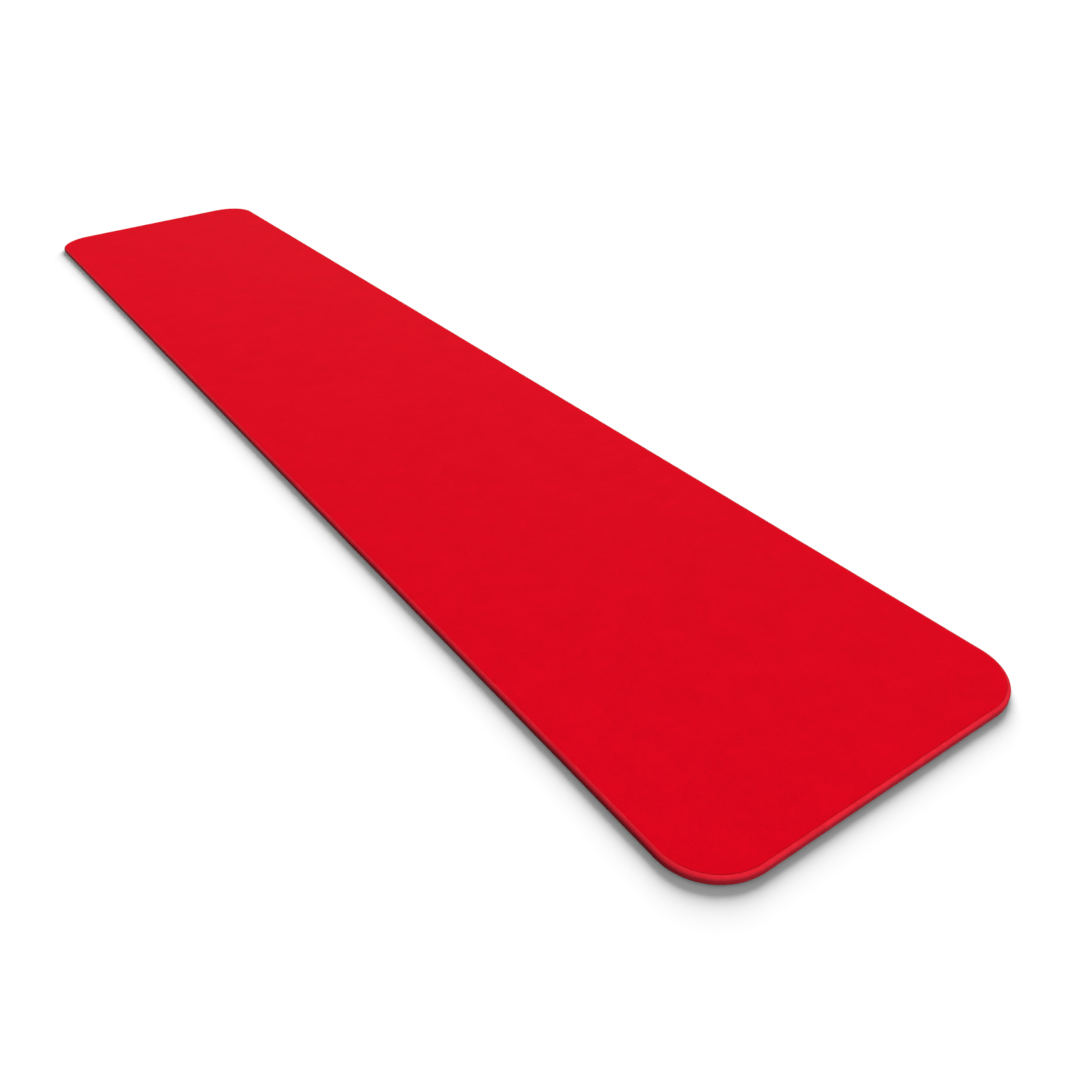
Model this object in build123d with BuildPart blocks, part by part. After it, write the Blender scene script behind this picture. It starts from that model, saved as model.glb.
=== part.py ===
"""Roll-out gymnastics landing mat: a foam core in a sewn, felt-topped textile cover.

Millimetres, +Z up. The origin is on the floor under the middle of the mat, +X runs
along the length and +Y across the width.
"""

from build123d import *
import os

os.makedirs("parts", exist_ok=True)

# Whole mat
length = 5000
width = 1000
thickness = 25
corner_radius = 150

# Anti-slip sheet glued under everything
base_thickness = 1.5
base_inset = 8

# Felt over the top, a little proud of the side strip
cover_thickness = 2.5
cover_edge_radius = 0.8

# Side strip: one length of fabric round the mat's rounded edge, with its lower edge
# turned in as a hem
border_thickness = 1.5
border_drop = 0.2
upper_radius = 9.9
lower_radius = 7.5
hem_width = 20
joint_gap = 0.3

# Seam between felt and side strip. Both edges turn down together inside.
seam_inset = 10
allowance = 6.5
seam_thread = 1.0
seam_chamfer = 2

# Foam core: a soft layer glued on a firm one. Foam sheet is 2 m long, so each layer is
# three panels end to end, and the joints of the two layers are staggered.
core_split = 12
glue_gap = 0.05
firm_panels = {"near": (500, 2500), "middle": (-1500, 500), "far": (-2500, -1500)}
soft_panels = {"near": (1500, 2500), "middle": (-500, 1500), "far": (-2500, -500)}

cover_bottom = thickness - cover_thickness
border_top = thickness - border_drop
allowance_bottom = cover_bottom - allowance
felt_turn_inset = seam_inset + cover_thickness
border_turn_inset = seam_inset - border_thickness


def mat_outline(inset, mode=Mode.ADD):
    """The mat's rounded outline, drawn that far inside its outside face."""
    return RectangleRounded(
        length - 2 * inset, width - 2 * inset, corner_radius - inset, mode=mode
    )


def ring(outer_inset, inner_inset):
    """A band that follows the mat's outline."""
    mat_outline(outer_inset)
    mat_outline(inner_inset, mode=Mode.SUBTRACT)


def rounded_slab(depth):
    """The whole mat above its base sheet, with rounded edges, shrunk by depth all round."""
    with BuildPart() as slab:
        with BuildSketch(Plane.XY.offset(base_thickness + depth)):
            mat_outline(depth)
        extrude(amount=border_top - base_thickness - 2 * depth)
        fillet(slab.edges().group_by(Axis.Z)[-1], radius=upper_radius - depth)
        fillet(slab.edges().group_by(Axis.Z)[0], radius=lower_radius - depth)
    return slab.part


def keep_stretch(x_range, z_range):
    """Keep only what lies between those places along the length and those heights."""
    middle = (sum(x_range) / 2, 0, sum(z_range) / 2)
    with Locations(middle):
        Box(
            x_range[1] - x_range[0],
            width,
            z_range[1] - z_range[0],
            mode=Mode.INTERSECT,
        )


def save(piece, name):
    """Label a finished piece and write it to its own file."""
    piece.part.label = name
    export_step(piece.part, f"parts/{name}.step")


outer_slab = rounded_slab(0)
lining_slab = rounded_slab(border_thickness)
foam_slab = rounded_slab(border_thickness + glue_gap)

# Felt cover: the flat top and the seam allowance turned down from its edge
with BuildPart() as top_cover:
    with BuildSketch(Plane.XY.offset(cover_bottom)):
        mat_outline(seam_inset)
    extrude(amount=cover_thickness)
    fillet(top_cover.edges().group_by(Axis.Z)[-1], radius=cover_edge_radius)
    with BuildSketch(Plane.XY.offset(allowance_bottom)):
        ring(seam_inset, felt_turn_inset)
    extrude(amount=allowance)
save(top_cover, "top_cover")

# Side strip: a skin round the rounded edge, open over the core above and below, with its
# allowance turned down beside the felt's. Its ends meet at the middle of the far end.
with BuildPart() as edge_border:
    add(outer_slab)
    add(lining_slab, mode=Mode.SUBTRACT)
    with BuildSketch(Plane.XY.offset(core_split)):
        mat_outline(seam_inset)
    extrude(amount=thickness, mode=Mode.SUBTRACT)
    with BuildSketch(Plane.XY):
        mat_outline(hem_width)
    extrude(amount=core_split, mode=Mode.SUBTRACT)
    with BuildSketch(Plane.XY.offset(allowance_bottom)):
        ring(border_turn_inset, seam_inset)
    extrude(amount=border_top - border_thickness - allowance_bottom)
    with Locations((-length / 2, 0, thickness / 2)):
        Box(2.5 * hem_width, joint_gap, thickness, mode=Mode.SUBTRACT)
save(edge_border, "edge_border")

# Seam thread: one closed line inside, along the top of the felt's allowance
with BuildSketch(Plane.XY.offset(cover_bottom - seam_thread / 2)) as seam_line:
    mat_outline(felt_turn_inset + seam_thread / 2)
seam_route = seam_line.sketch.wire()
with BuildPart() as cover_seam_thread:
    with BuildSketch(Plane(origin=seam_route @ 0, z_dir=seam_route % 0)):
        Circle(seam_thread / 2)
    sweep(path=seam_route)
save(cover_seam_thread, "cover_seam_thread")

# Firm layer: rounded under its edge, with a foot inside the side strip's hem
for place, x_range in firm_panels.items():
    with BuildPart() as firm_foam:
        add(foam_slab)
        with BuildSketch(Plane.XY.offset(base_thickness)):
            mat_outline(hem_width)
        extrude(amount=core_split - base_thickness)
        keep_stretch(x_range, (base_thickness, core_split))
    save(firm_foam, f"firm_foam_{place}")

# Soft layer: rounded over its edge, with a slot for the turned-down seam allowances and
# a chamfer beside it for the thread
for place, x_range in soft_panels.items():
    with BuildPart() as soft_foam:
        add(foam_slab)
        with BuildSketch(Plane.XY.offset(allowance_bottom)):
            mat_outline(border_turn_inset)
        extrude(amount=thickness, mode=Mode.SUBTRACT)
        with BuildSketch(Plane.XY.offset(allowance_bottom)):
            mat_outline(felt_turn_inset)
        extrude(amount=allowance)
        under_felt = soft_foam.faces().sort_by(SortBy.AREA)[-2:].sort_by(Axis.Z)[-1]
        chamfer(under_felt.edges(), length=seam_chamfer)
        keep_stretch(x_range, (core_split, thickness))
    save(soft_foam, f"soft_foam_{place}")

# Anti-slip sheet
with BuildPart() as anti_slip_base:
    with BuildSketch(Plane.XY):
        mat_outline(base_inset)
    extrude(amount=base_thickness)
save(anti_slip_base, "anti_slip_base")
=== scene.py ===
"""Looks of the roll-out landing mat: felt top, sewn side strip, foam core, ribbed underside.

Metres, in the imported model's frame: the floor is at z = 0, +X runs along the length and
+Y across the width. Every soft piece is built here from its cross-section and the mat's
rounded outline, in the space that its CAD solid holds.
"""

import math

import bmesh
import bpy
import numpy as np
from mathutils import Matrix, Vector


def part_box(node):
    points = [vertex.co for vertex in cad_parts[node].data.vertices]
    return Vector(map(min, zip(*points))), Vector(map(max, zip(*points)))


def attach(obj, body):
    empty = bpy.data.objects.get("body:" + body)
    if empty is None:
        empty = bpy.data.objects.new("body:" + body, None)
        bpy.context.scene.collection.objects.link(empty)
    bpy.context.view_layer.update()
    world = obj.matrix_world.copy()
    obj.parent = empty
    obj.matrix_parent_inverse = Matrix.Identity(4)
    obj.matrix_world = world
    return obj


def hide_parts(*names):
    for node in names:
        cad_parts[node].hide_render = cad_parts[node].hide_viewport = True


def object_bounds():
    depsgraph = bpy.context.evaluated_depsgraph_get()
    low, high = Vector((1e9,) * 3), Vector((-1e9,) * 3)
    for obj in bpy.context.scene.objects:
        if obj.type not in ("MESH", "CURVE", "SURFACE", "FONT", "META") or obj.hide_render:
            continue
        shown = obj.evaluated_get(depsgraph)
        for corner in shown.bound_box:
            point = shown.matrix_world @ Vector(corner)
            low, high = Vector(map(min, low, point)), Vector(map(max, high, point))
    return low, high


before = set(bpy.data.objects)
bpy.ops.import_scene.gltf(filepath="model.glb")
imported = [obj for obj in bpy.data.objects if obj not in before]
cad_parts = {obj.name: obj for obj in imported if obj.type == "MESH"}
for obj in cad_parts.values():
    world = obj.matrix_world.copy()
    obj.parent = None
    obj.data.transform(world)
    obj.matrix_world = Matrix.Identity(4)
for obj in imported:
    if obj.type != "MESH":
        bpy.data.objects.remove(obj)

CAD_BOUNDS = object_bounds()
MM = 0.001

# ------------------------------------------------------------------ sizes from the frame

COVER_LOW, COVER_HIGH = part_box("top_cover")
BORDER_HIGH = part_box("edge_border")[1]
BASE_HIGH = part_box("anti_slip_base")[1]
CORE_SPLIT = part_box("soft_foam_near")[0].z

HALF_LENGTH = CAD_BOUNDS[1].x
HALF_WIDTH = CAD_BOUNDS[1].y
THICKNESS = CAD_BOUNDS[1].z
CORNER = 150 * MM

# The layers' thicknesses and the side strip's section, as in the CAD model
FELT = 2.5 * MM
FABRIC = 1.5 * MM
UPPER_RADIUS = 9.9 * MM
LOWER_RADIUS = 7.5 * MM
HEM_WIDTH = 20 * MM

COVER_INSET = HALF_WIDTH - COVER_HIGH.y
BASE_INSET = HALF_WIDTH - BASE_HIGH.y
FELT_BOTTOM = THICKNESS - FELT
ALLOWANCE_LOW = COVER_LOW.z
LOWER_CENTRE = BASE_HIGH.z + LOWER_RADIUS
UPPER_CENTRE = BORDER_HIGH.z - UPPER_RADIUS

# ------------------------------------------------------------------------ mesh helpers

FEWEST_CORNER_STEPS = 16
WELD = 0.002 * MM


def outline(step):
    """Points along the mat's outline and their outward normals, about step apart.

    They run anticlockwise, all the way round from the middle of the far end.
    """
    half_x, half_y = HALF_LENGTH - CORNER, HALF_WIDTH - CORNER
    half_count = math.ceil(half_y / step)
    long_count = math.ceil(2 * half_x / step)
    arc_count = max(FEWEST_CORNER_STEPS, math.ceil(CORNER * math.pi / 2 / step))
    points, normals = [], []

    def side(start, end, count):
        share = np.arange(count)[:, None] / count
        start, end = np.array(start), np.array(end)
        along = (end - start) / np.linalg.norm(end - start)
        points.append(start + share * (end - start))
        normals.append(np.tile([along[1], -along[0]], (count, 1)))

    def arc(centre_x, centre_y, quarter):
        angle = (quarter + np.arange(arc_count) / arc_count) * math.pi / 2
        ray = np.stack([np.cos(angle), np.sin(angle)], 1)
        points.append(np.array([centre_x, centre_y]) + CORNER * ray)
        normals.append(ray)

    side((-HALF_LENGTH, 0), (-HALF_LENGTH, -half_y), half_count)
    arc(-half_x, -half_y, 2)
    side((-half_x, -HALF_WIDTH), (half_x, -HALF_WIDTH), long_count)
    arc(half_x, -half_y, 3)
    side((HALF_LENGTH, -half_y), (HALF_LENGTH, half_y), 2 * half_count)
    arc(half_x, half_y, 0)
    side((half_x, HALF_WIDTH), (-half_x, HALF_WIDTH), long_count)
    arc(-half_x, half_y, 1)
    side((-HALF_LENGTH, half_y), (-HALF_LENGTH, 0), half_count)
    return np.concatenate(points), np.concatenate(normals)


def travelled(points):
    """How far along a line of points each one is."""
    gaps = np.linalg.norm(np.diff(points, axis=0), axis=1)
    return np.concatenate([[0], np.cumsum(gaps)])


def ripple(points, wavelength, seed, waves=16):
    """A smooth random height at each point, about -1 to 1, the same in every run."""
    random = np.random.RandomState(seed)
    heights = np.zeros(len(points))
    for _ in range(waves):
        angle, shift = random.uniform(0, 2 * math.pi, 2)
        number = 2 * math.pi / (wavelength * random.uniform(0.7, 1.6))
        direction = number * np.array([math.cos(angle), math.sin(angle)])
        heights += np.sin(points[:, :2] @ direction + shift)
    return heights / math.sqrt(waves)


def wander(distances, wavelength, seed, waves=12):
    """A smooth random offset along a line, about -1 to 1, the same in every run."""
    random = np.random.RandomState(seed)
    offsets = np.zeros(len(distances))
    for _ in range(waves):
        number = 2 * math.pi / (wavelength * random.uniform(0.6, 1.8))
        offsets += np.sin(distances * number + random.uniform(0, 2 * math.pi))
    return offsets / math.sqrt(waves)


def swept(points, normals, insets, heights):
    """The band round the outline with those insets and heights: rows x points x 3.

    Insets and heights hold one number per row, or one per row and point.
    """
    shape = (len(insets), len(points))
    insets = np.broadcast_to(np.reshape(insets, (len(insets), -1)), shape)
    heights = np.broadcast_to(np.reshape(heights, (len(heights), -1)), shape)
    flat = points[None] - insets[..., None] * normals[None]
    return np.concatenate([flat, heights[..., None]], axis=2)


def quads(rows, count, closed_rows, closed_ring, first=0):
    """Faces between neighbouring rows of count points each, stored row after row.

    closed_rows joins the last row to the first, and closed_ring the ends of each row.
    """
    faces = []
    for row in range(rows if closed_rows else rows - 1):
        this = first + row * count
        following = first + (row + 1) % rows * count
        for i in range(count if closed_ring else count - 1):
            j = (i + 1) % count
            faces.append((this + i, this + j, following + j, following + i))
    return faces


def section_arc(inset, height, radius, start, stop, count):
    """Points (inset, height) round that centre. Angle 0 points out of the mat and 90 up."""
    angles = np.radians(np.linspace(start, stop, count))
    return np.column_stack([inset - radius * np.cos(angles), height + radius * np.sin(angles)])


def make_piece(name, points, faces, attributes=None, smooth_angle=50):
    """A mesh piece, welded, with its normals outwards and smooth below that angle.

    attributes holds numbers for each point, which its material reads.
    """
    mesh = bpy.data.meshes.new(name)
    mesh.from_pydata(np.asarray(points).tolist(), [], faces)
    for key, values in (attributes or {}).items():
        layer = mesh.attributes.new(key, "FLOAT", "POINT")
        layer.data.foreach_set("value", np.asarray(values, np.float32))
    work = bmesh.new()
    work.from_mesh(mesh)
    bmesh.ops.remove_doubles(work, verts=work.verts, dist=WELD)
    bmesh.ops.recalc_face_normals(work, faces=work.faces)
    work.to_mesh(mesh)
    work.free()
    mesh.polygons.foreach_set("use_smooth", np.ones(len(mesh.polygons), bool))
    mesh.set_sharp_from_angle(angle=math.radians(smooth_angle))
    piece = bpy.data.objects.new(name, mesh)
    bpy.context.scene.collection.objects.link(piece)
    return piece


# -------------------------------------------------------------------- material helpers


class Shader:
    """A new material with a Principled shader, and short calls to add its nodes."""

    def __init__(self, name, **settings):
        self.material = bpy.data.materials.new(name)
        self.material.use_nodes = True
        self.tree = self.material.node_tree
        self.surface = self.tree.nodes["Principled BSDF"]
        for socket, value in settings.items():
            self.put(self.surface.inputs[socket.replace("_", " ")], value)

    def put(self, socket, value):
        """Link the socket to another one, or set its value."""
        if isinstance(value, bpy.types.NodeSocket):
            self.tree.links.new(value, socket)
        else:
            socket.default_value = value

    def add(self, kind, inputs=None, **settings):
        """A new node, with those inputs and settings."""
        node = self.tree.nodes.new("ShaderNode" + kind)
        for key, value in settings.items():
            setattr(node, key, value)
        for key, value in (inputs or {}).items():
            self.put(node.inputs[key], value)
        return node

    def math(self, operation, *values):
        """The answer of one Math node."""
        node = self.add("Math", operation=operation)
        for socket, value in zip(node.inputs, values):
            self.put(socket, value)
        return node.outputs[0]

    def weighted(self, first, first_weight, second, second_weight):
        """The two values, each times its weight, added up."""
        return self.math("ADD", self.math("MULTIPLY", first, first_weight),
                         self.math("MULTIPLY", second, second_weight))

    def place(self, scale=(1, 1, 1), turn=0.0):
        """The point on the mesh in metres, turned about Z by radians and then scaled."""
        where = self.add("TexCoord").outputs["Object"]
        turned = self.add("Mapping", {"Vector": where, "Rotation": (0, 0, turn)})
        return self.add("Mapping", {"Vector": turned.outputs[0], "Scale": scale}).outputs[0]

    def noise(self, scale, detail=2.0, roughness=0.5, vector=None):
        """Noise of 0 to 1 with that many features per metre, or per unit of the vector."""
        inputs = {"Scale": scale, "Detail": detail, "Roughness": roughness}
        inputs["Vector"] = vector or self.place()
        return self.add("TexNoise", inputs).outputs[0]

    def stored(self, name):
        """A number that the mesh stores at each vertex."""
        return self.add("Attribute", attribute_name=name).outputs["Fac"]

    def spread(self, value, low, high, to_low=0.0, to_high=1.0):
        """Map low..high to to_low..to_high, and hold it there outside."""
        inputs = {"Value": value, "From Min": low, "From Max": high}
        inputs.update({"To Min": to_low, "To Max": to_high})
        return self.add("MapRange", inputs, clamp=True).outputs[0]

    def mix(self, share, first, second, blend="MIX"):
        """The first colour, with that share of the second mixed or multiplied in."""
        node = self.add("Mix", data_type="RGBA", blend_type=blend)
        for socket, value in zip((0, 6, 7), (share, first, second)):
            self.put(node.inputs[socket], value)
        return node.outputs[2]

    def finish(self, colour, height, bump_distance, bump_strength, roughness):
        """Connect the surface's colour, bump and roughness, and give the material."""
        inputs = {"Height": height, "Distance": bump_distance, "Strength": bump_strength}
        bump = self.add("Bump", inputs)
        self.put(self.surface.inputs["Base Color"], colour)
        self.put(self.surface.inputs["Normal"], bump.outputs[0])
        self.put(self.surface.inputs["Roughness"], roughness)
        return self.material


def rgb(red, green, blue):
    """An opaque colour, in linear light."""
    return (red, green, blue, 1.0)


def wear(piece, material):
    """Give the piece that one material."""
    piece.data.materials.clear()
    piece.data.materials.append(material)


# --------------------------------------------------------------------------- materials

# The felt's fibres: streaks so many to a metre along x, y and z, turned by these radians
FIBRE_TURNS = (0.3, 1.35, 2.4)
FIBRE_SCALE = (1500, 170, 600)

# Stray flecks: cells per metre, the share of cells with a fleck, and its radius in cells
FLECK_CELLS = 9.0
FLECK_SHARE = 0.28
FLECK_RADIUS = 0.011

# The weave's pitch, and the turn of the thread's plies along it and up it, in radians a metre
WEAVE_PITCH = 1.1 * MM
TWIST_ALONG, TWIST_UP = 3500, 6000


def felt_material():
    """Needle-punched red felt: matted fibres, soft blotches, rubbed edge and stray flecks."""
    deep_red, bright_red = rgb(0.571, 0.0005, 0.0070), rgb(0.645, 0.0008, 0.0092)
    fibre_red, pit_red = rgb(0.69, 0.0020, 0.0145), rgb(0.43, 0.0004, 0.004)
    rubbed_red, fleck_pink = rgb(0.68, 0.006, 0.022), rgb(0.72, 0.24, 0.23)
    shader = Shader("red_needle_felt", Specular_IOR_Level=0.005, Sheen_Weight=0.018,
                    Sheen_Roughness=0.45, Sheen_Tint=rgb(1.0, 0.11, 0.27))
    blotches = shader.noise(11, detail=4, roughness=0.62)
    clouds = shader.noise(38, detail=3, roughness=0.6)
    grain = shader.noise(260, detail=3, roughness=0.65)
    fibres = grain
    for turn in FIBRE_TURNS:
        streaks = shader.noise(1, vector=shader.place(FIBRE_SCALE, turn))
        fibres = shader.math("MAXIMUM", fibres, streaks)
    tone = shader.weighted(blotches, 0.55, clouds, 0.45)
    colour = shader.mix(shader.spread(tone, 0.36, 0.64), deep_red, bright_red)
    colour = shader.mix(shader.spread(fibres, 0.45, 0.85), colour, fibre_red)
    colour = shader.mix(shader.spread(grain, 0.28, 0.44, 0.5, 0.0), colour, pit_red)
    edge = shader.spread(shader.stored("inset"), 4 * MM, 16 * MM, 0.5, 0.0)
    rubbed = shader.math("MULTIPLY", edge, shader.spread(clouds, 0.40, 0.70))
    colour = shader.mix(rubbed, colour, rubbed_red)
    cells = shader.add("TexVoronoi", {"Scale": FLECK_CELLS, "Vector": shader.place()})
    lot = shader.add("SeparateColor", {"Color": cells.outputs["Color"]}).outputs[0]
    chosen = shader.math("GREATER_THAN", lot, 1 - FLECK_SHARE)
    close = shader.math("LESS_THAN", cells.outputs["Distance"], FLECK_RADIUS)
    fleck = shader.math("MULTIPLY", shader.math("MULTIPLY", chosen, close), 0.6)
    colour = shader.mix(fleck, colour, fleck_pink)
    height = shader.weighted(fibres, 0.7, clouds, 0.6)
    return shader.finish(colour, height, bump_distance=0.35 * MM, bump_strength=0.55,
                         roughness=shader.spread(grain, 0.3, 0.7, 0.86, 1.0))


def border_material():
    """Woven red side strip: painted highlight high up, lighter than the felt; painted shade low
    down; brown patches at its foot.
    """
    deep_red, bright_red = rgb(0.52, 0.0085, 0.020), rgb(0.60, 0.0115, 0.026)
    gap_red, slub_red = rgb(0.38, 0.004, 0.010), rgb(0.66, 0.03, 0.04)
    # Tints for painted shade over the strip's lower part and for a painted highlight along the
    # top of its upper curve
    painted_shade_tint, painted_highlight_tint = rgb(0.385, 0.64, 0.60), rgb(1.10, 0.78, 0.88)
    # Dark brown for patches on the lowest part of the strip, next to the floor
    bottom_patches_brown = rgb(0.12, 0.006, 0.009)
    shader = Shader("red_border_weave", Specular_IOR_Level=0.03, Sheen_Weight=0.012,
                    Sheen_Roughness=0.4, Sheen_Tint=rgb(1.0, 0.45, 0.45))
    turns = 2 * math.pi / WEAVE_PITCH
    warp = shader.math("SINE", shader.math("MULTIPLY", shader.stored("along"), turns))
    weft = shader.math("SINE", shader.math("MULTIPLY", shader.stored("across"), turns))
    weave = shader.math("MULTIPLY", warp, weft)
    slubs = shader.noise(1, detail=3, vector=shader.place(scale=(60, 60, 900)))
    clouds = shader.noise(24, detail=3)
    colour = shader.mix(shader.spread(clouds, 0.35, 0.65), deep_red, bright_red)
    colour = shader.mix(shader.spread(weave, -1, 1, 0.30, 0.0), colour, gap_red)
    colour = shader.mix(shader.spread(slubs, 0.55, 0.75, 0.0, 0.35), colour, slub_red)
    level = shader.stored("level")
    # Painted shade: the strip is multiplied darker from near its top downwards, fully below about
    # two thirds of its height
    painted_shade = shader.mix(1.0, colour, painted_shade_tint, blend="MULTIPLY")
    colour = shader.mix(shader.spread(level, 0.69, 0.97, 1.0, 0.0), colour, painted_shade)
    # Painted highlight: the top of the upper curve is made lighter red and less pink
    painted_highlight = shader.mix(1.0, colour, painted_highlight_tint, blend="MULTIPLY")
    colour = shader.mix(shader.spread(level, 0.93, 0.985), colour, painted_highlight)
    # Darker brown in patches on the lowest part of the strip, next to the floor
    bottom_patches = shader.math("MULTIPLY", shader.spread(level, 0.10, 0.40, 0.6, 0.0),
                        shader.spread(clouds, 0.30, 0.55, 0.5, 1.0))
    colour = shader.mix(bottom_patches, colour, bottom_patches_brown)
    height = shader.weighted(weave, 0.5, slubs, 1.0)
    return shader.finish(colour, height, bump_distance=0.22 * MM, bump_strength=0.6,
                         roughness=shader.spread(slubs, 0.3, 0.7, 0.70, 0.9))


def foam_material(name, dark, light, cell):
    """Closed-cell foam: cells of two sizes, the smaller cell wide, with lighter walls."""
    shader = Shader(name, Specular_IOR_Level=0.3)

    def walls_of(scale):
        inputs = {"Scale": scale, "Vector": shader.place()}
        return shader.add("TexVoronoi", inputs, feature="DISTANCE_TO_EDGE").outputs["Distance"]

    walls = shader.math("MINIMUM", walls_of(1 / cell), walls_of(0.4 / cell))
    tone = shader.noise(18, detail=3)
    colour = shader.mix(shader.spread(tone, 0.3, 0.7), dark, light)
    colour = shader.mix(shader.spread(walls, 0.0, 0.08, 0.45, 0.0), colour, light)
    return shader.finish(colour, walls, bump_distance=0.4 * MM, bump_strength=0.7,
                         roughness=shader.spread(tone, 0.3, 0.7, 0.75, 0.95))


def rubber_material():
    """Dark anti-slip sheet: a fine pebble grain, with a little dust and a few scuffs."""
    rubber_black = rgb(0.020, 0.020, 0.022)
    dust_grey, scuff_grey = rgb(0.105, 0.098, 0.092), rgb(0.16, 0.155, 0.15)
    shader = Shader("anti_slip_rubber", Specular_IOR_Level=0.35)
    pebbles = shader.add("TexVoronoi", {"Scale": 650.0, "Vector": shader.place()})
    dust = shader.noise(9, detail=5, roughness=0.65)
    scuffs = shader.noise(1, detail=3, vector=shader.place(scale=(14, 220, 14), turn=0.2))
    colour = shader.mix(shader.spread(dust, 0.40, 0.75, 0.0, 0.40), rubber_black, dust_grey)
    colour = shader.mix(shader.spread(scuffs, 0.60, 0.76, 0.0, 0.28), colour, scuff_grey)
    height = pebbles.outputs["Distance"]
    return shader.finish(colour, height, bump_distance=0.2 * MM, bump_strength=0.6,
                         roughness=shader.spread(dust, 0.3, 0.7, 0.65, 0.9))


def thread_material():
    """Red sewing thread: plies twisted round each other."""
    dark_red, light_red = rgb(0.30, 0.003, 0.008), rgb(0.62, 0.010, 0.020)
    shader = Shader("twisted_red_thread", Specular_IOR_Level=0.4, Sheen_Weight=0.3)
    where = shader.add("SeparateXYZ", {"Vector": shader.place()}).outputs
    run = shader.math("ADD", where[0], where[1])
    plies = shader.math("SINE", shader.weighted(run, TWIST_ALONG, where[2], TWIST_UP))
    colour = shader.mix(shader.spread(plies, -1, 1), dark_red, light_red)
    return shader.finish(colour, plies, bump_distance=0.1 * MM, bump_strength=0.8,
                         roughness=shader.spread(plies, -1, 1, 0.7, 0.45))


# ------------------------------------------------------------------------------ felt top

FELT_STEP = 10 * MM
FACE_ROWS = 15
SHOULDER_ROWS = 8
SHOULDER = 0.9 * MM
TUCK_DROP = 2.2 * SHOULDER
SEAM_BULGE = 0.6 * MM
SEAM_PULL = 0.25 * MM
PULL_REACH = 7 * MM
LIP_GAP = 0.04 * MM

# The felt's unevenness: the height of each kind of wave, and its length in metres
BROAD_HEIGHT, BROAD_LENGTH = 0.22 * MM, 0.55
FINE_HEIGHT, FINE_LENGTH = 0.10 * MM, 0.09
PUCKER_HEIGHT, PUCKER_LENGTH = 0.12 * MM, 0.045
SINK = 0.18 * MM


def felt_height(points, insets):
    """How far the felt's face stands above or below flat, there."""
    broad = BROAD_HEIGHT * ripple(points, BROAD_LENGTH, seed=11)
    fine = FINE_HEIGHT * ripple(points, FINE_LENGTH, seed=12)
    past_seam = np.maximum(insets - COVER_INSET, 0)
    pulled = -SEAM_PULL * np.exp(-past_seam / PULL_REACH)
    puckers = PUCKER_HEIGHT * ripple(points, PUCKER_LENGTH, seed=13)
    puckers *= np.exp(-past_seam / (2 * PULL_REACH))
    return broad - SINK + fine + pulled + puckers


def felt_cover():
    """The felt: a fine grid over the middle, and a band of rows that turns down at the seam."""
    points, normals = outline(FELT_STEP)
    count = len(points)

    # Rows over the face, closer together towards the seam, and round the shoulder
    widest = COVER_INSET - SEAM_BULGE
    face = np.geomspace(CORNER, widest + SHOULDER, FACE_ROWS + 1)[:-1]
    turn = np.linspace(0, math.pi / 2, SHOULDER_ROWS)
    rolled = widest + SHOULDER * (1 - np.sin(turn))
    drop = np.concatenate([0 * face, SHOULDER * (1 - np.cos(turn))])

    # Rows down the outer side of the turned-down lip, up its inner side and back inwards
    outer, inner = COVER_INSET + LIP_GAP, COVER_INSET + FELT - LIP_GAP
    bottom, halfway = ALLOWANCE_LOW + 3 * LIP_GAP, (ALLOWANCE_LOW + FELT_BOTTOM) / 2
    lip = [THICKNESS - TUCK_DROP, halfway, bottom, bottom, halfway]
    insets = np.concatenate([face, rolled, [outer] * 3, [inner] * 3, [2 * HEM_WIDTH, CORNER]])
    heights = np.concatenate([THICKNESS - drop, lip, [FELT_BOTTOM] * 3])
    band = swept(points, normals, insets, heights)
    for row in range(len(drop)):
        share = 1 - drop[row] / SHOULDER
        band[row, :, 2] += share * felt_height(band[row], np.full(count, insets[row]))

    # The grid over the middle, whose border lies on the band's first row
    half_x, half_y = HALF_LENGTH - CORNER, HALF_WIDTH - CORNER
    x = np.linspace(-half_x, half_x, math.ceil(2 * half_x / FELT_STEP) + 1)
    y = np.linspace(-half_y, half_y, 2 * math.ceil(half_y / FELT_STEP) + 1)
    grid = np.stack(np.meshgrid(x, y), 2).reshape(-1, 2)
    middle = np.column_stack([grid, THICKNESS + felt_height(grid, np.full(len(grid), CORNER))])

    rows = len(insets)
    faces = quads(rows, count, closed_rows=False, closed_ring=True)
    faces += quads(len(y), len(x), closed_rows=False, closed_ring=False, first=rows * count)
    faces.append(tuple((rows - 1) * count + i for i in range(count)))
    everything = np.concatenate([band.reshape(-1, 3), middle])
    inset_of = np.concatenate([np.repeat(insets, count), np.full(len(middle), CORNER)])
    cover = make_piece("felt_top_cover", everything, faces, {"inset": inset_of})
    wear(cover, felt_material())
    return cover


# ---------------------------------------------------------------------------- side strip

STRIP_STEP = 8 * MM
LOWER_ROWS, UPPER_ROWS, FOLD_ROWS = 12, 20, 8
STRIP_HALF = 0.72 * MM
FOLD_RADIUS = 0.78 * MM
END_GAP = 0.1 * MM
BULGE = 0.25 * MM

# How far the points nearest the strip's joint are from its middle, and how its ends dip in
JOINT_CLOSE = np.array([0.15, 0.3, 0.7, 1.3, 2.2, 4.0]) * MM
JOINT_CURL = 0.8 * MM
CURL_REACH = 3 * MM

# The bulge's unevenness along the strip: the share of each kind of wave, and its length
SLOW_SHARE, SLOW_LENGTH = 0.6, 0.35
QUICK_SHARE, QUICK_LENGTH = 0.25, 0.06


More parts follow.
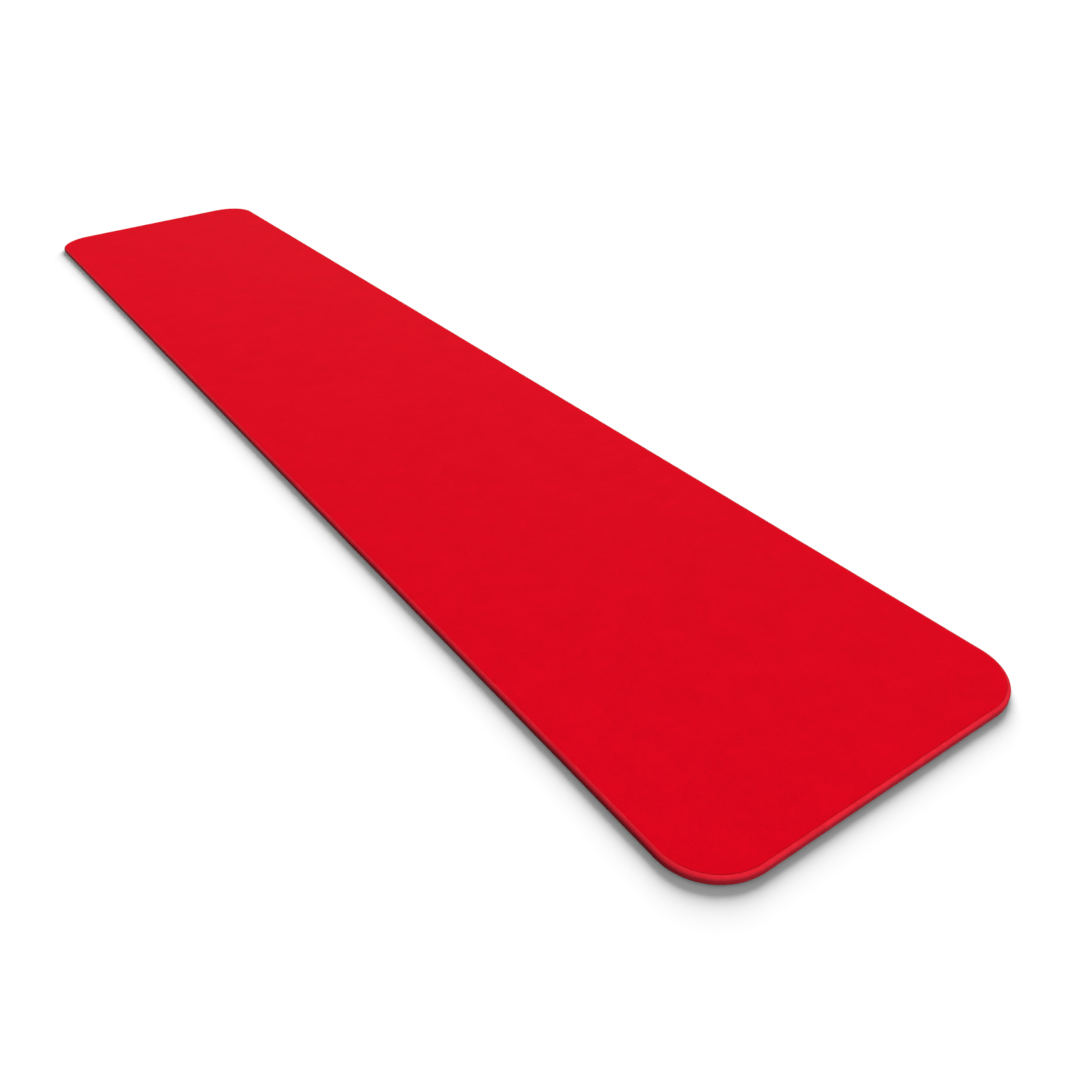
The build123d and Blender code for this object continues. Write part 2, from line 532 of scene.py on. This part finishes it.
def strip_middle():
    """The strip's middle line as (inset, height), and which of its points are free.

    It runs from the hem round the lower and upper curves, over a tight fold at the seam
    and down into its allowance.
    """
    level = BASE_HIGH.z + FABRIC / 2
    lower_skin, upper_skin = LOWER_RADIUS - FABRIC / 2, UPPER_RADIUS - FABRIC / 2
    fold_inset = COVER_INSET - FABRIC / 2 - FOLD_RADIUS
    last = math.acos((UPPER_RADIUS - fold_inset) / upper_skin)
    fold_centre = UPPER_CENTRE + upper_skin * math.sin(last) - FOLD_RADIUS
    hem = [(HEM_WIDTH, level), ((HEM_WIDTH + LOWER_RADIUS) / 2, level)]
    lower = section_arc(LOWER_RADIUS, LOWER_CENTRE, lower_skin, -90, 0, LOWER_ROWS)
    last_degrees = math.degrees(last)
    upper = section_arc(UPPER_RADIUS, UPPER_CENTRE, upper_skin, 0, last_degrees, UPPER_ROWS)
    fold = section_arc(fold_inset, fold_centre, FOLD_RADIUS, 90, 180, FOLD_ROWS)[1:]
    halfway, end = (fold_centre + ALLOWANCE_LOW) / 2, ALLOWANCE_LOW + END_GAP
    down = [(fold[-1][0], halfway), (fold[-1][0], end)]
    line = np.concatenate([hem, lower, upper, fold, down])
    free = np.zeros(len(line))
    loose = len(lower) + len(upper)
    free[len(hem):len(hem) + loose] = np.sin(np.linspace(0, math.pi, loose))
    return line, free


def side_strip():
    """The strip round the sides: a skin of fabric, a little wavy, joined at the far end.

    Returns the piece, and the length and width that the strip is cut to.
    """
    points, normals = outline(STRIP_STEP)
    near_joint = np.column_stack([np.full(len(JOINT_CLOSE), -HALF_LENGTH), -JOINT_CLOSE])
    facing = np.tile([-1.0, 0.0], (len(JOINT_CLOSE), 1))
    points = np.concatenate([near_joint, points[1:], near_joint[::-1] * [1, -1]])
    normals = np.concatenate([facing, normals[1:], facing])
    distances = travelled(points)
    count = len(points)

    line, free = strip_middle()
    direction = np.gradient(line, axis=0)
    direction /= np.linalg.norm(direction, axis=1)[:, None]
    outward = np.column_stack([-direction[:, 1], direction[:, 0]])
    run = travelled(line)
    level = np.clip(line[:, 1] / THICKNESS, 0, 1)
    slow = wander(distances, SLOW_LENGTH, seed=21)
    quick = wander(distances, QUICK_LENGTH, seed=22)
    from_joint = np.minimum(distances, distances[-1] - distances)
    curl = JOINT_CURL * np.clip(1 - from_joint / CURL_REACH, 0, 1) ** 2
    swell = BULGE * (1 + SLOW_SHARE * slow + QUICK_SHARE * quick) - curl

    # The outer side has every row, and the hidden inner side every second one
    insets, heights, kept = [], [], []
    for side, keep in ((1, np.arange(len(line))), (-1, np.arange(len(line))[::-2])):
        offset = STRIP_HALF * side + free[keep, None] * swell
        insets.append(line[keep, :1] + offset * outward[keep, :1])
        heights.append(line[keep, 1:] + offset * outward[keep, 1:])
        kept.append(keep)
    kept = np.concatenate(kept)
    band = swept(points, normals, np.concatenate(insets), np.concatenate(heights))
    total = len(kept)
    faces = quads(total, count, closed_rows=True, closed_ring=False)
    faces.append(tuple(row * count for row in range(total)))
    faces.append(tuple(row * count + count - 1 for row in range(total))[::-1])
    strip = make_piece("side_border_strip", band.reshape(-1, 3), faces, {
        "along": np.tile(distances, total),
        "across": np.repeat(run[kept], count),
        "level": np.repeat(level[kept], count),
    })
    wear(strip, border_material())
    return strip, distances[-1], run[-1]


# ----------------------------------------------------------------------- ribbed underside

RIB_PITCH = 12 * MM
RIB_HEIGHT = 0.5 * MM
# One rib as (share of the pitch, share of the lift): it stands on the floor up to 0.46
RIB_PROFILE = ((0.0, 0.0), (0.46, 0.0), (0.56, 1.0), (0.90, 1.0))
CORNER_COLUMNS = 24
ROWS_ACROSS = 9
GLUE_GAP = 0.02 * MM


def ribbed_base():
    """The anti-slip sheet: flat where it is glued, with shallow ribs across on the floor side."""
    end = HALF_LENGTH - BASE_INSET
    radius = CORNER - BASE_INSET
    rib_count = round(2 * end / RIB_PITCH)
    pitch = 2 * end / rib_count
    ribs = [(-end + (n + share) * pitch, lift)
            for n in range(rib_count) for share, lift in RIB_PROFILE]
    ribs.append((end, 0.0))
    x, lift = np.array(ribs).T

    # Columns at each bend of a rib and along the rounded corners, and each one's half width
    angles = np.linspace(0, math.pi / 2, CORNER_COLUMNS)
    past = end - radius + radius * np.sin(angles)
    columns = np.union1d(x, np.concatenate([past, -past]).round(6))
    lifts = RIB_HEIGHT * np.interp(columns, x, lift)
    beyond = np.maximum(np.abs(columns) - (end - radius), 0)
    reach = HALF_WIDTH - CORNER + np.sqrt(np.maximum(radius**2 - beyond**2, 0))
    across = np.linspace(-1, 1, ROWS_ACROSS)
    below = np.stack([np.tile(columns, (len(across), 1)), across[:, None] * reach,
                      np.tile(lifts, (len(across), 1))], axis=2)
    above = below[[0, -1]].copy()
    above[:, :, 2] = BASE_HIGH.z - GLUE_GAP

    # The ribbed side, the glued side, the two long edges, and an edge at each end
    count, rows = len(columns), len(across)
    faces = quads(rows, count, closed_rows=False, closed_ring=False)
    left = rows * count
    right = left + count
    for i in range(count - 1):
        faces.append((left + i, right + i, right + i + 1, left + i + 1))
        faces.append((i, left + i, left + i + 1, i + 1))
        last = (rows - 1) * count + i
        faces.append((last + 1, right + i + 1, right + i, last))
    for i in (0, count - 1):
        faces.append(tuple(row * count + i for row in range(rows)) + (right + i, left + i))
    everything = np.concatenate([below.reshape(-1, 3), above.reshape(-1, 3)])
    base = make_piece("ribbed_anti_slip_sheet", everything, faces, smooth_angle=25)
    wear(base, rubber_material())
    return base


# -------------------------------------------------------------------------- foam panels

FOAM_STEP = 15 * MM
FIRM_ROWS, SOFT_ROWS = 9, 11
FOAM_GAP = 0.08 * MM
LINING = FABRIC + FOAM_GAP
SEAM_CHAMFER = 2 * MM
PANEL_PLACES = ("near", "middle", "far")


def foam_panel(node, section, material):
    """One foam panel: its stretch of the outline at each (inset, height) of the section."""
    low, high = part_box(node)
    points, normals = outline(FOAM_STEP)
    half_x = HALF_LENGTH - CORNER
    start = low.x if low.x > -half_x else -HALF_LENGTH
    end = high.x if high.x < half_x else HALF_LENGTH
    near = (points[:, 0] > start - FOAM_STEP) & (points[:, 0] < end + FOAM_STEP)
    points, normals = points[near], normals[near]
    band = swept(points, normals, section[:, 0], section[:, 1])
    band[:, :, 0] = np.clip(band[:, :, 0], start + FOAM_GAP, end - FOAM_GAP)
    count = len(points)
    faces = quads(len(section), count, closed_rows=False, closed_ring=True)
    faces.append(tuple(range(count)))
    faces.append(tuple((len(section) - 1) * count + i for i in range(count)))
    panel = make_piece(node + "_panel", band.reshape(-1, 3), faces, smooth_angle=30)
    wear(panel, material)
    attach(panel, "root")
    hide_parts(node)
    return panel


def firm_section():
    """A foot inside the hem, then the lower curve and the straight side."""
    foot = HEM_WIDTH + FOAM_GAP
    hem_top = BASE_HIGH.z + LINING
    curve = section_arc(LOWER_RADIUS, LOWER_CENTRE, LOWER_RADIUS - LINING, -90, 0, FIRM_ROWS)
    start = [(foot, BASE_HIGH.z + FOAM_GAP), (foot, hem_top)]
    return np.concatenate([start, curve, [(LINING, CORE_SPLIT - FOAM_GAP)]])


def soft_section():
    """The upper curve, then down and up round the slot for the seam's turned-down edges."""
    slot_outer = COVER_INSET - FABRIC - FOAM_GAP
    slot_inner = COVER_INSET + FELT + FOAM_GAP
    slot_floor = ALLOWANCE_LOW - FOAM_GAP
    skin = UPPER_RADIUS - LINING
    last = math.degrees(math.acos((UPPER_RADIUS - slot_outer) / skin))
    curve = section_arc(UPPER_RADIUS, UPPER_CENTRE, skin, 0, last, SOFT_ROWS)
    slot = [(slot_outer, slot_floor), (slot_inner, slot_floor)]
    chamfer = [(slot_inner, FELT_BOTTOM - SEAM_CHAMFER),
               (slot_inner + SEAM_CHAMFER, FELT_BOTTOM - FOAM_GAP)]
    return np.concatenate([[(LINING, CORE_SPLIT + FOAM_GAP)], curve, slot, chamfer])


def foam_core():
    """Three firm grey panels and, on them, three soft white ones."""
    greys = (rgb(0.10, 0.11, 0.13), rgb(0.20, 0.21, 0.24))
    whites = (rgb(0.62, 0.61, 0.58), rgb(0.80, 0.79, 0.76))
    firm = foam_material("firm_grey_foam", *greys, cell=1.0 * MM)
    soft = foam_material("soft_white_foam", *whites, cell=1.4 * MM)
    for place in PANEL_PLACES:
        foam_panel("firm_foam_" + place, firm_section(), firm)
        foam_panel("soft_foam_" + place, soft_section(), soft)


# ------------------------------------------------------------------------------ assembly


def build_mat():
    """Every piece of the mat, on the part's one body. Returns the side strip."""
    cover = felt_cover()
    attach(cover, "root")
    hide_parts("top_cover")

    strip, length, width = side_strip()
    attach(strip, "root")
    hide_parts("edge_border")

    base = ribbed_base()
    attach(base, "root")
    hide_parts("anti_slip_base")

    foam_core()
    wear(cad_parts["cover_seam_thread"], thread_material())
    return strip


# --------------------------------------------------------------------------------- stage

FLOOR_REACH = 120
SKY_STRENGTH = 0.36


def floor_plane():
    """A wide pale matte floor."""
    reach = FLOOR_REACH
    corners = [(-reach, -reach, 0), (reach, -reach, 0), (reach, reach, 0), (-reach, reach, 0)]
    mesh = bpy.data.meshes.new("floor")
    mesh.from_pydata(corners, [], [(0, 1, 2, 3)])
    floor = bpy.data.objects.new("floor", mesh)
    bpy.context.scene.collection.objects.link(floor)
    shader = Shader("pale_floor", Specular_IOR_Level=0.0, Roughness=1.0)
    shader.put(shader.surface.inputs["Base Color"], rgb(0.90, 0.90, 0.90))
    wear(floor, shader.material)


def soft_sun(name, azimuth, elevation, strength, spread, only=(), never=()):
    """A sun lamp as broad as a studio softbox, shining from that bearing and height.

    Angles are in degrees. It lights the pieces in only and no others, or every piece but
    those in never, as with flags on a real set.
    """
    lamp = bpy.data.lights.new(name, "SUN")
    lamp.energy = strength
    lamp.angle = math.radians(spread)
    sun = bpy.data.objects.new(name, lamp)
    bearing, height = math.radians(azimuth), math.radians(elevation)
    level = math.cos(height)
    source = Vector((math.cos(bearing) * level, math.sin(bearing) * level, math.sin(height)))
    sun.rotation_euler = source.to_track_quat("Z", "Y").to_euler()
    bpy.context.scene.collection.objects.link(sun)
    if only or never:
        flagged = bpy.data.collections.new(name + "_flags")
        sun.light_linking.receiver_collection = flagged
        for piece in (*only, *never):
            flagged.objects.link(piece)
        for piece, entry in zip((*only, *never), flagged.collection_objects):
            entry.light_linking.link_state = "INCLUDE" if piece in only else "EXCLUDE"


def studio(strip):
    """A low key light from beyond the far right corner, an end light for the strip, a pale sky.

    The strip throws no red light on the floor, and the backdrop is plain white.
    """
    soft_sun("key", azimuth=135, elevation=26, strength=5.6, spread=42, never=(strip,))
    soft_sun("end_light", azimuth=6, elevation=41, strength=4.6, spread=28, only=(strip,))
    strip.visible_diffuse = False
    world = bpy.data.worlds.new("studio")
    world.use_nodes = True
    tree = world.node_tree
    sky = tree.nodes["Background"]
    sky.inputs["Strength"].default_value = SKY_STRENGTH
    backdrop = tree.nodes.new("ShaderNodeBackground")
    seen = tree.nodes.new("ShaderNodeLightPath")
    chosen = tree.nodes.new("ShaderNodeMixShader")
    for background in (sky, backdrop):
        background.inputs["Color"].default_value = rgb(1, 1, 1)
    tree.links.new(seen.outputs["Is Camera Ray"], chosen.inputs[0])
    tree.links.new(sky.outputs[0], chosen.inputs[1])
    tree.links.new(backdrop.outputs[0], chosen.inputs[2])
    tree.links.new(chosen.outputs[0], tree.nodes["World Output"].inputs["Surface"])
    bpy.context.scene.world = world
    bpy.context.scene.view_settings.view_transform = "Standard"


# The camera stands this far beyond the near end, left of the mat and above its face, and
# looks at that point of the face, rolled by degrees
CAMERA_BEYOND, CAMERA_LEFT, CAMERA_ABOVE = 0.817, 0.855, 1.596
CAMERA_TARGET = (1.336, -0.071)
CAMERA_LENS = 33.94
CAMERA_ROLL = -2.63


def camera():
    """Beyond the near end and left of it, looking back along the mat, a little rolled."""
    place = Vector((HALF_LENGTH + CAMERA_BEYOND, -HALF_WIDTH - CAMERA_LEFT,
                    THICKNESS + CAMERA_ABOVE))
    target = Vector((*CAMERA_TARGET, THICKNESS))
    look = target - place
    level = look.to_track_quat("-Z", "Y").to_matrix()
    roll = Matrix.Rotation(math.radians(CAMERA_ROLL), 3, "Z")
    data = bpy.data.cameras.new("camera")
    data.lens = CAMERA_LENS
    data.sensor_width = 36
    data.clip_end = 500
    eye = bpy.data.objects.new("camera", data)
    eye.matrix_world = Matrix.Translation(place) @ (level @ roll).to_4x4()
    bpy.context.scene.collection.objects.link(eye)
    bpy.context.scene.camera = eye


camera()
border = build_mat()
floor_plane()
studio(border)
